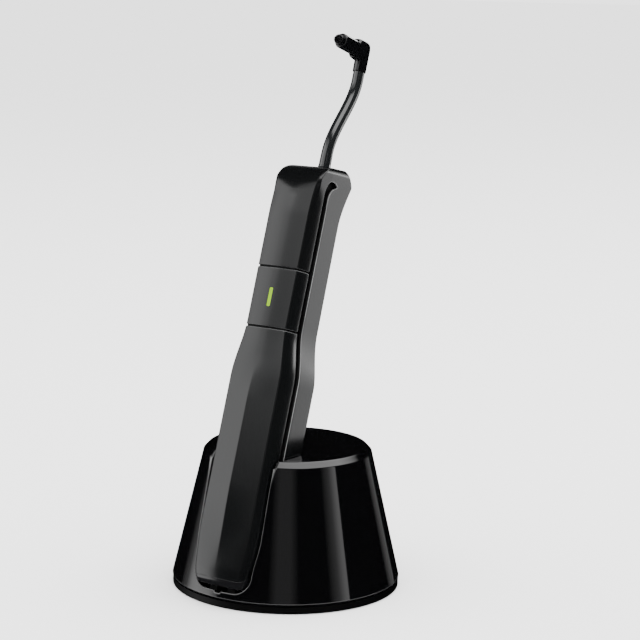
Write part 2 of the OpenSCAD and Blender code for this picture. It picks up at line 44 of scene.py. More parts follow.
# ---------- sizes in millimetres, as in the CAD; s is the distance along the leaning handset ----------
LEAN = math.radians(17.5)
SEAT = (-37.6, 6.1)
GRIP_HALF = 13.8
SLIM_HALF = 10.7
GROOVE = (-2.4, 0.6)
GROOVE_DEPTH = 1.5
LOW_SEAM = 99.9
HIGH_SEAM = 123.4
CAP_H = 2.5
TOP_S = 165.4
TOP_SLANT = 0.11
CROWN = 1.3
ROLL_START = 154.5
ROLL_DEPTH = 8.5
SHAFT_Y = 8.8
NECK_FOOT = 166.6
COLLAR_FOOT = 208.8
NECK_BEND = 10.7
NECK_CURVE = (172.5, 205.5)
SOCKET_R = 1.35
SOCKET_FLAT = 0.85
SOCKET_ROUND = 3.4
SOCKET_DEPTH = 10.4
HEAD_Y = SHAFT_Y + NECK_BEND
BARREL_S = 217.0
FOOT_R = 45.0
RIM_R = 33.1
STAND_H = 55.6
PLATE_TOP = 2.8
BEVEL_H = 2.4
CRADLE_HALF = 14.5
CRADLE_BACK = 13.0
INLET = (9.4, 3.7, 13.9)  # width and height of its opening, and how high its middle is

# ---------- sizes of the finish, which the CAD leaves out or has otherwise ----------
HOOK_START = 150.0  # above this the head's skin carries the groove's hooked end
LENS = (111.6, 7.3, 1.5)  # middle, length and width; the CAD's window is 7.8 by 2.2, under the bezel
DRAIN_DEPTH = 0.7
TOP_FACE_DROP = 0.55
SEAM_GAP = 0.7  # the CAD has 0.5
COVER_WALL = 1.2
BUTTON_WALL = 1.0  # the CAD has 1.2; the pressed button's rounded inner corner has to clear its seal
EDGE = 0.28
EDGE_STEPS = 4
WALL_ROUNDING = 0.6
RIDGE_ROUND = 0.025
SLIVER_AREA = 1e-11  # square metres
# How strongly the rounded edge on each side of a patch is painted paler, as a painted highlight line
EDGE_SHEEN = {"left": 1, "right": 1, "top": 0.5, "bottom": 0.15}
ROUND = 48  # points round a turned piece
HAIRS = 90
GOLDEN_ANGLE = 2.39996  # spreads the hairs evenly over the tuft


def tilt(p):
    """From the handset's own millimetres to the frame's metres."""
    p = np.asarray(p, float)
    x, y, s = p[..., 0], p[..., 1], p[..., 2]
    across = SEAT[0] + s * math.sin(LEAN) + y * math.cos(LEAN)
    up = SEAT[1] + s * math.cos(LEAN) - y * math.sin(LEAN)
    return np.stack([x, across, up], -1) * MM


def ramp(s, a, b):
    """A smooth step from 0 at a to 1 at b."""
    t = np.clip((np.asarray(s, float) - a) / (b - a), 0, 1)
    return t * t * (3 - 2 * t)


# ---------- mesh building ----------
def unit(v):
    return v / np.maximum(np.linalg.norm(v, axis=-1, keepdims=True), 1e-12)


def slopes(p, axis, closed):
    """Differences between neighbouring points of a grid, which may close on itself."""
    if closed:
        return np.roll(p, -1, axis) - np.roll(p, 1, axis)
    return np.gradient(p, axis=axis)


def grid_normals(p, close_cols=False):
    return unit(np.cross(slopes(p, 1, close_cols), slopes(p, 0, False)))


class Skin:
    """Collects grids of points into one smooth mesh.
    Its edge marks say where rounded edges are painted paler as a highlight line; deep marks recessed faces,
    which take a near-black painted-shade material."""

    def __init__(self):
        self.points, self.normals, self.faces = [], [], []
        self.wear, self.deep, self.count = [], [], 0

    def grid(self, p, close_cols=False, flip=False, wear=None, deep=None, normals=None):
        n = grid_normals(p, close_cols) if normals is None else normals
        rows, cols = p.shape[:2]
        wear = np.zeros((rows, cols)) if wear is None else wear
        deep = np.zeros((rows, cols)) if deep is None else deep
        index = np.arange(rows * cols).reshape(rows, cols) + self.count
        if close_cols:
            index, deep = np.hstack([index, index[:, :1]]), np.hstack([deep, deep[:, :1]])
        quads = [index[:-1, :-1], index[:-1, 1:], index[1:, 1:], index[1:, :-1]]
        lowest = np.minimum(np.minimum(deep[:-1, :-1], deep[:-1, 1:]),
                            np.minimum(deep[1:, 1:], deep[1:, :-1]))
        if flip:
            quads, n = quads[::-1], -n
        self.points.append(p.reshape(-1, 3))
        self.normals.append(n.reshape(-1, 3))
        self.faces.append(np.stack(quads, -1).reshape(-1, 4))
        self.wear.append(wear.reshape(-1))
        self.deep.append(lowest.reshape(-1))
        self.count += rows * cols
        return self

    def build(self, name, material, recess_shade_material=None):
        mesh = bpy.data.meshes.new(name)
        points, faces = np.vstack(self.points), np.vstack(self.faces)
        corners = points[faces]
        area = np.linalg.norm(np.cross(corners[:, 2] - corners[:, 0], corners[:, 3] - corners[:, 1]), axis=1)
        solid = area > SLIVER_AREA
        mesh.from_pydata(points.tolist(), [], faces[solid].tolist())
        mesh.polygons.foreach_set("use_smooth", [True] * len(mesh.polygons))
        mesh.materials.append(material)
        # Recessed faces take the second, near-black material: painted shade in the grooves
        if recess_shade_material:
            mesh.materials.append(recess_shade_material)
            recessed = np.concatenate(self.deep)[solid] > 0.5
            mesh.polygons.foreach_set("material_index", recessed.astype(int).tolist())
        # The edge marks, which the materials turn into a painted highlight line
        painted_sheen = mesh.attributes.new("wear", "FLOAT", "POINT")
        painted_sheen.data.foreach_set("value", np.concatenate(self.wear).tolist())
        mesh.normals_split_custom_set_from_vertices(np.vstack(self.normals).tolist())
        mesh.update()
        obj = bpy.data.objects.new(name, mesh)
        bpy.context.scene.collection.objects.link(obj)
        return obj


def rolled(p, wear, side, radius, depth):
    """Adds a rounded edge and a skirt to the 'top', 'bottom', 'left' or 'right' of a grid and its marks,
    marking the rounded edge to be painted paler as a highlight line.
    """
    across = side in ("left", "right")
    n = grid_normals(p)
    q, w = (np.swapaxes(p, 0, 1), wear.T) if across else (p, wear)
    n = np.swapaxes(n, 0, 1) if across else n
    first = side in ("bottom", "left")
    edge, inner, normal = (q[0], q[1], n[0]) if first else (q[-1], q[-2], n[-1])
    out = edge - inner
    out = unit(out - normal * np.sum(out * normal, -1, keepdims=True))
    strips, marks = [], []
    for k in range(1, EDGE_STEPS + 1):
        a = 0.5 * math.pi * k / EDGE_STEPS
        strips.append(edge + out * radius * math.sin(a) - normal * radius * (1 - math.cos(a)))
        # The painted highlight is strongest across the middle of the rounded edge
        marks.append(np.full(len(edge), math.sin(2 * a * 0.98) * EDGE_SHEEN[side]))
    strips.append(edge + out * radius - normal * max(depth, radius + 0.01 * MM))
    marks.append(np.zeros(len(edge)))
    if first:
        q, w = np.concatenate([np.stack(strips[::-1]), q]), np.concatenate([np.stack(marks[::-1]), w])
    else:
        q, w = np.concatenate([q, np.stack(strips)]), np.concatenate([w, np.stack(marks)])
    return (np.swapaxes(q, 0, 1), w.T) if across else (q, w)


def add_shell(skin, p, sides, depth, inner=True):
    """A skin patch with rounded edges on the named sides, and its inner face."""
    if inner:
        skin.grid(p - grid_normals(p) * depth, flip=True)
    wear = np.zeros(p.shape[:2])
    for side in sides:
        p, wear = rolled(p, wear, side, EDGE * MM, depth)
    skin.grid(p, wear=wear)


# ---------- the handset's cross-sections ----------
def slim(s):
    """0 along the wide grip, 1 along the slim upper part."""
    return ramp(s, 80, 102)


def half_w(s):
    """Half width at the flanks, with the grip's taper and the head's rounded end."""
    top = np.maximum(0, 2.2**2 - np.maximum(0, s - 163) ** 2 * 0.7)
    inset = np.where(s < 163, 0, 2.2 - np.sqrt(top))
    return GRIP_HALF - (GRIP_HALF - SLIM_HALF) * slim(s) - 2.1 * (1 - ramp(s, -4, 24)) - inset


def face_w(s):
    """Half width of the front face, inside the bevels."""
    return half_w(s) - 1.3 - 0.9 * (1 - slim(s))


def rear_w(s):
    """Half width at the back."""
    return half_w(s) - 0.2 * slim(s) - 0.3 * ramp(s, 80, 90) * (1 - ramp(s, 90, 104))


def ridge(s):
    """The grip's ridge, which rises over a longer stretch than in the CAD."""
    return ramp(s, 10, 40) * (1 - ramp(s, 72, 90))


def crease(s):
    """How far the front is two flat facets instead of one round crown."""
    return ramp(s, 3, 24) * (1 - ramp(s, 72, 90))


def front_y(s):
    """How far the front's edges stand out, down to the roll over the head's top."""
    t = np.clip((s - ROLL_START) / (TOP_S - ROLL_START), 0, 1)
    roll = ROLL_DEPTH * (1 - np.sqrt(np.maximum(0, 1 - t * t)))
    return 9.2 - 0.6 * slim(s) - 0.7 * ramp(s, 145, 157) - roll - 1.2 * (1 - ramp(s, 0, 7))


def crown_rise(s):
    """How far the middle of the front stands out; it fades higher up the head than in the CAD."""
    return CROWN * (1 - ramp(s, 151, 163)) + ridge(s)


def back_y(s):
    """Depth of the back: sloping heel, straight grip, swelling head, cut-off shoulder."""
    heel = 4.2 + 7.8 * s / 6
    straight = 12 - 0.4 * ramp(s, 80, 145)
    swell = 11.6 + 4 * (np.clip(s - 145, 0, None) / 15.4) ** 1.6
    shoulder = 15.6 - 4.8 * (np.clip(s - 160.4, 0, None) / (TOP_S - 160.4)) ** 1.3
    return np.where(s < 6, heel, np.where(s < 145, straight, np.where(s < 160.4, swell, shoulder)))


def top_fall(s):
    return TOP_SLANT * ramp(s, 158, TOP_S)


def bezier(a, b, c, count):
    """Points on a curve from a to c that is drawn towards b, one curve for each row."""
    t = np.linspace(0, 1, count)[:, None]
    return a[:, None] * (1 - t) ** 2 + 2 * b[:, None] * t * (1 - t) + c[:, None] * t**2


def line(a, b, count):
    """Points from a to b, one line for each row."""
    t = np.linspace(0, 1, count)[:, None]
    return a[:, None] * (1 - t) + b[:, None] * t


def spread(a, b, count):
    """Evenly spaced values from a to b, one row for each pair."""
    t = np.linspace(0, 1, count)[None, :]
    return a[:, None] * (1 - t) + b[:, None] * t


def towards(a, b, distance):
    return a + unit(b - a) * distance


def front_half(s, soft=0.45):
    """From the middle of the front over the bevel to the side wall: (rows, points, x and y)."""
    w, f = half_w(s), face_w(s)
    edge_y, rise = front_y(s), crown_rise(s)
    bevel_y = np.minimum(6.5, edge_y - 0.4)
    t = np.linspace(0, 1, 16)[None, :] ** 1.5
    full = math.sqrt(1 + RIDGE_ROUND**2) - RIDGE_ROUND
    roof = 1 - (np.sqrt(t * t + RIDGE_ROUND**2) - RIDGE_ROUND) / full
    share = crease(s)[:, None]
    height = (1 - share) * (1 - t * t) + share * roof
    x = t * (f - soft)[:, None]
    stretch = ((f - soft) / f)[:, None]
    height_at_edge = (1 - share) * (1 - stretch**2) + share * (1 - stretch)
    y = -(edge_y[:, None] + rise[:, None] * (height_at_edge + (1 - height_at_edge) * height))
    face = np.stack([x, y], -1)
    corner = np.stack([f, -edge_y], -1)
    shoulder = np.stack([w - wall_rounding(s), -bevel_y], -1)
    wall = np.stack([w - wall_rounding(s) * (1 - soft / 4) ** 2, -bevel_y + soft], -1)
    a, b = face[:, -1], towards(corner, shoulder, soft)
    c = towards(shoulder, corner, soft)
    edge = bezier(a, corner, b, 7)
    flat = line(b, c, 4)
    turn = bezier(c, shoulder, wall, 7)
    return np.concatenate([face, edge[:, 1:], flat[:, 1:], turn[:, 1:]], 1)


def side_x(s, y):
    """Half width of the flank at rows s and columns y; in front of the groove it turns towards the front."""
    w, r, b = half_w(s)[:, None], rear_w(s)[:, None], back_y(s)[:, None]
    t = np.clip((y - GROOVE[1]) / np.maximum(b - 1.2 - GROOVE[1], 0.5), 0, 1)
    turned = np.clip((GROOVE[0] - y) / 4.1, 0, 1) ** 2
    return w - (w - r) * t - wall_rounding(s)[:, None] * turned


def wall_rounding(s):
    """How far the corner between bevel and flank is rounded off."""
    return WALL_ROUNDING * (1 - ramp(s, 148, 158))


def back_half(s, y_from, wall_points=9):
    """From the flank at y_from round the rear corner to the middle of the back."""
    b, corner = back_y(s), 1.1
    t = np.linspace(0, 1, wall_points)[None, :]
    y_from = np.broadcast_to(np.asarray(y_from, float), s.shape)
    y = y_from[:, None] + (b - corner - y_from)[:, None] * t
    wall = np.stack([side_x(s, y), y], -1)
    r = rear_w(s)
    square = np.stack([r, b], -1)
    inner = np.stack([r - corner, b + 0.03], -1)
    turn = bezier(wall[:, -1], square, inner, 9)
    q = np.linspace(1, 0, 12)[None, :]
    x = (r - corner)[:, None] * q
    crown = np.stack([x, b[:, None] + 0.03 + 0.47 * (1 - q**2)], -1)
    return np.concatenate([wall, turn[:, 1:], crown[:, 1:]], 1)


def raised(section, s):
    """Gives a section its height, with the top face's slight fall to the front."""
    z = s[:, None] + top_fall(s)[:, None] * section[..., 1]
    return np.concatenate([section, z[..., None]], -1)


def both_sides(half):
    """Joins a half that starts at the middle line to its mirror image, from left to right."""
    left = half[:, :0:-1] * np.array([-1, 1])
    return np.concatenate([left, half], 1)


def front_grid(s):
    """The front skin from the left groove to the right one, for rows s."""
    half = front_half(s)
    start = half[:, -1, 1][:, None]
    y = np.linspace(0, 1, 6)[None, 1:] * (GROOVE[0] - EDGE - start) + start
    side = np.stack([side_x(s, y), y], -1)
    return raised(both_sides(np.concatenate([half, side], 1)), s)


def back_grid(s):
    """The rear skin from the right groove round the back to the left one, for rows s."""
    half = back_half(s, GROOVE[1] + EDGE)
    left = half[:, -2::-1] * np.array([-1, 1])
    return raised(np.concatenate([half, left], 1), s)


# ---------- materials ----------
def material(name, colour, roughness, metallic=0.0, grain=0.0, grain_scale=4000.0, wear=0.1,
             coat=0.0, painted_sheen=None, glow=None, specular=0.5):
    """A moulded or metal surface. Its roughness drifts in patches by the given share, grain stands
    in relief, and edges marked in the mesh are painted paler in patches as a highlight line, up to the given
    grey level."""
    mat = bpy.data.materials.new(name)
    mat.use_nodes = True
    nodes, links = mat.node_tree.nodes, mat.node_tree.links
    shader = nodes["Principled BSDF"]
    shader.inputs["Metallic"].default_value = metallic
    shader.inputs["Specular IOR Level"].default_value = specular
    shader.inputs["Coat Weight"].default_value = coat
    shader.inputs["Coat Roughness"].default_value = 0.04
    where = nodes.new("ShaderNodeTexCoord")
    drift = nodes.new("ShaderNodeTexNoise")
    drift.inputs["Scale"].default_value = 70
    drift.inputs["Detail"].default_value = 6
    links.new(where.outputs["Object"], drift.inputs["Vector"])
    gloss = nodes.new("ShaderNodeMapRange")
    gloss.inputs["To Min"].default_value = max(0.01, roughness * (1 - wear))
    gloss.inputs["To Max"].default_value = min(1.0, roughness * (1 + wear))
    links.new(drift.outputs["Fac"], gloss.inputs["Value"])
    links.new(gloss.outputs["Result"], shader.inputs["Roughness"])
    tint = nodes.new("ShaderNodeMix")
    tint.data_type = "RGBA"
    tint.inputs["A"].default_value = (*[c * 0.85 for c in colour], 1)
    tint.inputs["B"].default_value = (*[c * 1.15 for c in colour], 1)
    links.new(drift.outputs["Fac"], tint.inputs["Factor"])
    surface = tint.outputs["Result"]
    # Painted highlight: marked edges are mixed towards a pale grey, patchy with the drift noise
    if painted_sheen:
        mark = nodes.new("ShaderNodeAttribute")
        mark.attribute_name = "wear"
        patchy = nodes.new("ShaderNodeMath")
        patchy.operation = "MULTIPLY"
        links.new(mark.outputs["Fac"], patchy.inputs[0])
        links.new(drift.outputs["Fac"], patchy.inputs[1])
        sheen_mix = nodes.new("ShaderNodeMix")
        sheen_mix.data_type = "RGBA"
        sheen_mix.inputs["B"].default_value = (painted_sheen, painted_sheen, painted_sheen, 1)
        links.new(patchy.outputs["Value"], sheen_mix.inputs["Factor"])
        links.new(surface, sheen_mix.inputs["A"])
        surface = sheen_mix.outputs["Result"]
    links.new(surface, shader.inputs["Base Color"])
    if grain:
        fine = nodes.new("ShaderNodeTexNoise")
        fine.inputs["Scale"].default_value = grain_scale
        fine.inputs["Detail"].default_value = 2
        links.new(where.outputs["Object"], fine.inputs["Vector"])
        bump = nodes.new("ShaderNodeBump")
        bump.inputs["Strength"].default_value = grain
        bump.inputs["Distance"].default_value = 0.02 * MM
        links.new(fine.outputs["Fac"], bump.inputs["Height"])
        links.new(bump.outputs["Normal"], shader.inputs["Normal"])
    if glow:
        shader.inputs["Emission Color"].default_value = (*glow, 1)
        shader.inputs["Emission Strength"].default_value = 1.0
    return mat


# The grey level given last on these four lines is the colour of their painted edge highlights
SATIN = material("handset_satin", (0.0022, 0.0024, 0.0026), 0.2, grain=0.12, wear=0.1, painted_sheen=0.3)
COVER = material("cover_satin", (0.0022, 0.0025, 0.0027), 0.19, grain=0.12, wear=0.1, painted_sheen=0.3)
GLOSS = material("stand_gloss", (0.001, 0.001, 0.0012), 0.05, wear=0.25, coat=0.3, painted_sheen=0.16)
CAP = material("cap_gloss", (0.004, 0.004, 0.0045), 0.16, wear=0.2, painted_sheen=0.1)
NECK = material("neck_gloss", (0.006, 0.0065, 0.007), 0.14, wear=0.2, coat=0.3, specular=0.75)
HEAD = material("head_gloss", (0.0015, 0.0015, 0.0018), 0.08, wear=0.2, coat=0.3)
FLOOR_BLACK = material("plate_black", (0.0015, 0.0015, 0.0017), 0.45, grain=0.1, grain_scale=2500,
                       specular=0.12)
RUBBER = material("rubber", (0.002, 0.002, 0.0023), 0.8, grain=0.5, grain_scale=1800, specular=0.3)
# Painted shade: a near-black, barely reflective finish for the groove floors, where shade falls
GROOVE_SHADE = material("groove_shade", (0.001, 0.001, 0.001), 0.6, grain=0.3, specular=0.1)
STEEL = material("steel", (0.56, 0.56, 0.58), 0.3, metallic=1, wear=0.3, grain=0.1)
GROUND = material("ground_steel", (0.7, 0.7, 0.72), 0.15, metallic=1, wear=0.3)
IRON = material("ballast", (0.2, 0.2, 0.21), 0.55, metallic=1, grain=0.6, grain_scale=900)
BRONZE = material("bronze", (0.5, 0.3, 0.12), 0.35, metallic=1, wear=0.3, grain=0.3)
COPPER = material("winding", (0.6, 0.25, 0.1), 0.35, metallic=1, grain=0.8, grain_scale=2400)
FERRITE = material("ferrite", (0.06, 0.06, 0.065), 0.6, grain=0.5, grain_scale=1500)
NYLON = material("nylon", (0.6, 0.58, 0.53), 0.5, grain=0.3)
BOARD = material("board", (0.015, 0.13, 0.05), 0.35, grain=0.3, grain_scale=1200)
CHIP = material("chip", (0.015, 0.015, 0.017), 0.5, grain=0.5)
CELL = material("cell_wrap", (0.04, 0.2, 0.09), 0.2, coat=0.4)
WINDOW = material("window", (0.06, 0.14, 0.0), 0.5, glow=(0.34, 0.56, 0.0), specular=0.1)
BRISTLE = material("bristle", (0.008, 0.008, 0.009), 0.35)

NODE_MATERIALS = {
    "floor_plate": FLOOR_BLACK, "rubber_feet": RUBBER, "ballast_weight": IRON, "floor_screws": STEEL,
    "cradle_pads": RUBBER, "power_inlet": STEEL, "charger_board": BOARD, "charger_chips": CHIP,
    "transmitting_coil": COPPER, "transmitting_ferrite": FERRITE, "coil_bracket": NYLON,
    "cover_seal": RUBBER, "end_cap_seal": RUBBER, "end_cap_screws": STEEL, "chassis": NYLON,
    "battery_cell": CELL, "battery_tabs": STEEL, "receiving_coil": COPPER, "receiving_ferrite": FERRITE,
    "control_board": BOARD, "controller_chips": CHIP, "indicator_led": WINDOW, "button_seal": RUBBER,
    "switch_body": CHIP, "switch_plunger": STEEL, "motor": STEEL, "motor_screws": STEEL,
    "motor_shaft": GROUND, "crank": BRONZE, "drive_lever": NYLON, "drive_shaft": GROUND,
    "lower_bush": BRONZE, "upper_bush": BRONZE,
}


def dress_nodes():
    """Gives every CAD node that stays in view its finished material."""
    for name, mat in NODE_MATERIALS.items():
        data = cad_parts[name].data
        data.materials.clear()
        data.materials.append(mat)


def placed(piece, body, slot, *nodes):
    """Puts a finished piece on its body, in place of its CAD nodes. slot is not used."""
    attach(piece, body)
    if nodes:
        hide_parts(*nodes)
    return piece


# ---------- handset shells ----------
def rows_between(a, b, step):
    """Evenly spaced rows from a to b, about a step apart."""
    return np.linspace(a, b, max(3, int(round((b - a) / step)) + 1))


def hook_outline():
    """Side view of the groove's hooked upper end, as (y, s) points."""
    outer = [(1.6 - 4.1 * math.cos(a), 153.6 + 6.6 * math.sin(a)) for a in np.radians(range(0, 91, 6))]
    inner = [(5.2 - 4.6 * math.cos(a), 152.8 + 5.4 * math.sin(a)) for a in np.radians(range(78, -1, -6))]
    start = [(GROOVE[0], 140.0), (GROOVE[0], 150.2)]
    return np.array(start + outer + [(3.6, 160.0), (5.4, 159.0)] + inner + [(GROOVE[1], 140.0)])


def hook_span(s):
    """The first and last y of the groove at each height, held at the hook's top above it."""
    y = np.linspace(-4, 6.5, 700)
    points = np.stack(np.broadcast_arrays(y[None, :], s[:, None]), -1)
    inside = inside_distance(points, hook_outline()) > 0
    found = inside.any(1)
    first, last = y[inside.argmax(1)], y[len(y) - 1 - inside[:, ::-1].argmax(1)]
    return np.interp(s, s[found], first[found]), np.interp(s, s[found], last[found])


def inside_distance(points, outline):
    """How deep each point lies inside a closed outline, negative outside it."""
    a, b = outline, np.roll(outline, -1, 0)
    p = points[..., None, :]
    along = np.clip(np.sum((p - a) * (b - a), -1) / np.sum((b - a) ** 2, -1), 0, 1)
    gap = np.linalg.norm(p - (a + (b - a) * along[..., None]), axis=-1).min(-1)
    x, y = points[..., 0, None], points[..., 1, None]
    ax, ay, bx, by = a[:, 0], a[:, 1], b[:, 0], b[:, 1]
    crosses = ((ay > y) != (by > y)) & (x < (bx - ax) * (y - ay) / (by - ay + 1e-12) + ax)
    return np.where(crosses.sum(-1) % 2 == 1, gap, -gap)


def head_ring(s):
    """Full cross-sections of the head with the hooked groove sunk into both flanks."""
    front = front_half(s)
    back = back_half(s, 7.0, wall_points=4)
    y0, y1 = front[:, -1, 1], back[:, 0, 1]
    first, last = hook_span(s)
    middle = 0.5 * (first + last)
    knots = [0.92 * y0 + 0.08 * y1, first - 0.3, first - 0.15, np.minimum(first + 0.3, middle - 0.05),
             np.maximum(last - 0.3, middle + 0.05), last + 0.15, last + 0.3, 0.03 * y0 + 0.97 * y1]
    counts = (14, 2, 8, 8, 8, 2, 24)
    parts = [spread(a, b, n + 1)[:, :-1] for a, b, n in zip(knots, knots[1:], counts)]
    fixed = np.concatenate(parts + [knots[-1][:, None]], 1)
    squeeze = ramp(s, 160.9, 162.4)[:, None]
    even = spread(knots[0], knots[-1], fixed.shape[1])
    y = fixed * (1 - squeeze) + even * squeeze
    x = side_x(s, y)
    inside = inside_distance(np.stack([y, np.broadcast_to(s[:, None], y.shape)], -1), hook_outline())
    depth = ramp(inside, -0.15, 0.3)
    side = np.stack([x - GROOVE_DEPTH * depth, y], -1)
    half = np.concatenate([front, side, back], 1)
    left = half[:, -2:0:-1] * np.array([-1, 1])
    # The first marks paint a pale highlight line along the groove's edge; the second mark the recess for the
    # painted-shade material
    marks = []
    for level in (np.clip(1 - np.abs(inside + 0.08) / 0.16, 0, 1), depth > 0.25):
        mark = np.zeros(half.shape[:2])
        mark[:, front.shape[1]:front.shape[1] + y.shape[1]] = level
        marks.append(np.concatenate([mark, mark[:, -2:0:-1]], 1))
    return raised(np.concatenate([half, left], 1), s), marks[0], marks[1]


def add_head(skin):
    """The head above the covers, closed by its slanted top face."""
    hook = np.arange(HOOK_START - 0.12, 161, 0.12)
    angles = np.linspace(math.asin((161 - ROLL_START) / (TOP_S - ROLL_START)), 0.5 * math.pi, 18)
    roll = ROLL_START + (TOP_S - ROLL_START) * np.sin(angles)
    rings, wear, deep = head_ring(np.concatenate([hook, roll]))
    last, middle = rings[-1], np.array([0, 5.8])
    cap, shares = [], (0.985, 0.93, 0.8, 0.6, 0.35, 0.12, 0.0)
    for share in shares:
        flat = middle + (last[:, :2] - middle) * share
        z = TOP_S + TOP_SLANT * flat[:, 1] + 0.06
        cap.append(np.concatenate([flat, z[:, None]], 1))
    p = tilt(np.concatenate([rings, np.stack(cap)]))
    n = grid_normals(p, close_cols=True)
    n[-1] = unit(np.array([0, math.sin(LEAN), math.cos(LEAN)]))
    blank = np.zeros((len(shares), p.shape[1]))
    skin.grid(p[1:], normals=n[1:], close_cols=True, wear=np.concatenate([wear, blank])[1:],
              deep=np.concatenate([deep, blank])[1:])


def make_rear_housing():
    """The rear moulding: back and front skins, the floors of the side grooves, and the head."""
    skin = Skin()
    edges = ("left", "right", "bottom")
    s = rows_between(CAP_H + 0.1 + EDGE, HOOK_START, 1.2)
    add_shell(skin, tilt(back_grid(s)), edges, GROOVE_DEPTH * MM, inner=False)
    s = rows_between(HIGH_SEAM + SEAM_GAP / 2 + EDGE, HOOK_START, 1.2)
    add_shell(skin, tilt(front_grid(s)), edges, GROOVE_DEPTH * MM, inner=False)
    # The floors of the side grooves, all in the near-black material: painted shade
    s = rows_between(4, HOOK_START, 2)
    for side in (1, -1):
        y = np.linspace(-4.2, 1.4, 6)[None, :]
        x = side * (half_w(s)[:, None] - GROOVE_DEPTH + 0.05 + 0 * y)
        floor = np.stack([x, y + 0 * x, s[:, None] + 0 * x], -1)
        skin.grid(tilt(floor), flip=side < 0, deep=np.ones(x.shape))
    add_head(skin)
    piece = skin.build("rear_moulding", SATIN, GROOVE_SHADE)
    return placed(piece, "handset", "handset_satin", "rear_housing")


def make_seam_liners():
    """The rubber beads that close the joints above and below the button."""
    for name, middle in (("lower_bead", LOW_SEAM), ("upper_bead", HIGH_SEAM)):
        s = middle + np.array([-0.32, -0.3, 0.3, 0.32])
        p = front_grid(s)
        depth = np.array([1.3, 0.5, 0.5, 1.3])[:, None, None] * MM
        skin = Skin().grid(tilt(p) - grid_normals(tilt(p)) * depth)
        placed(skin.build(name, RUBBER), "handset", "seal_black")


def lifted_end(s, section_x):
    """The grip's lower end is cut with rounded corners, so its rows rise towards the flanks."""
    radius = 2.6
    reach = half_w(np.full_like(s, CAP_H)) - radius
    over = np.clip(np.abs(section_x) - reach[:, None], 0, radius * 0.98)
    lift = radius - np.sqrt(radius**2 - over**2)
    return lift * (1 - ramp(s, CAP_H, 14))[:, None]


def make_grip_cover():
    skin = Skin()
    s = np.concatenate([np.linspace(CAP_H + 0.3 + EDGE, 16, 16),
                        rows_between(16.8, LOW_SEAM - SEAM_GAP / 2 - EDGE, 0.9)])
    p = front_grid(s)
    p[..., 2] += lifted_end(s, p[..., 0])
    add_shell(skin, tilt(p), ("left", "right", "bottom", "top"), COVER_WALL * MM)
    return placed(skin.build("grip_front", COVER), "handset", "cover_satin", "grip_cover")


def make_power_button():
    skin = Skin()
    s = rows_between(LOW_SEAM + SEAM_GAP / 2 + EDGE, HIGH_SEAM - SEAM_GAP / 2 - EDGE, 0.9)
    add_shell(skin, tilt(front_grid(s)), ("left", "right", "bottom", "top"), BUTTON_WALL * MM)
    return placed(skin.build("button_front", COVER), "button", "cover_satin", "power_button")


def rounded_rectangle(w, h, r, steps=6):
    """Points round a rectangle with rounded corners, anticlockwise."""
    out = []
    for k, (sx, sy) in enumerate(((1, 1), (-1, 1), (-1, -1), (1, -1))):
        for a in np.linspace(k * 90, k * 90 + 90, steps):
            out.append((sx * (w / 2 - r) + r * math.cos(math.radians(a)),
                        sy * (h / 2 - r) + r * math.sin(math.radians(a))))
    return np.array(out)


def make_window():
    """The glowing bar, and the dark bezel that surrounds it."""
    middle, length, width = LENS
    face = -(float(front_y(np.array([middle]))[0]) + CROWN)
    layers = [(0.0, 1.2), (0.0, -0.02), (0.06, -0.05), (0.3, -0.06), (0.8, -0.06)]
    rows = []
    for inset, depth in layers:
        ring = rounded_rectangle(width - 2 * inset, length - 2 * inset, max(0.05, 0.45 - inset * 0.4))
        rows.append([(x, face + depth, middle + z) for x, z in ring])
    rows.append([(0, face - 0.06, middle + z * 0.6) for _, z in ring])
    skin = Skin().grid(tilt(np.array(rows)), close_cols=True)
    frame_rows = []
    for grow, depth in ((0.4, 0.04), (0.33, -0.03), (0.06, -0.03), (0.02, 0.05)):
        ring = rounded_rectangle(width + 2 * grow, length + 2 * grow, 0.5 + grow)
        frame_rows.append([(x, face + depth, middle + z) for x, z in ring])
    bezel = Skin().grid(tilt(np.array(frame_rows)), close_cols=True).build("window_bezel", CAP)
    placed(bezel, "button", "cap_gloss")
    return placed(skin.build("window_bar", WINDOW), "button", "window_green", "indicator_window")


def whole_ring(s):
    """The handset's full cross-section without its grooves."""
    half = np.concatenate([front_half(s, soft=0.3), back_half(s, GROOVE[1])], 1)
    left = half[:, -2:0:-1] * np.array([-1, 1])
    return np.concatenate([half, left], 1)


def make_end_cap():
    """The black cap at the bottom, drawn in from the full section with a rounded edge."""
    rows = []
    for s, inset in ((0.0, 8.0), (0.0, 4.0), (0.0, 2.6), (0.12, 1.9), (0.45, 1.2), (1.0, 0.7), (1.8, 0.4),
                     (2.8, 0.3), (7.0, 0.3)):
        base = whole_ring(np.array([max(s, 0.6)]))[0]
        centre = np.array([0, -1.6])
        size = np.abs(base - centre).max(0)
        shrunk = centre + (base - centre) * (1 - inset / size)
        rows.append(np.concatenate([shrunk, np.full((len(shrunk), 1), s)], 1))
    skin = Skin().grid(tilt(np.array(rows)), close_cols=True)
    return placed(skin.build("end_cap_moulding", CAP), "handset", "cap_gloss", "end_cap")


# ---------- stand ----------
SLOPE = (FOOT_R - RIM_R) / (STAND_H - BEVEL_H - PLATE_TOP)


def wall_r(z):
    """Radius of the stand's sloping wall."""
    return FOOT_R - SLOPE * (z - PLATE_TOP)


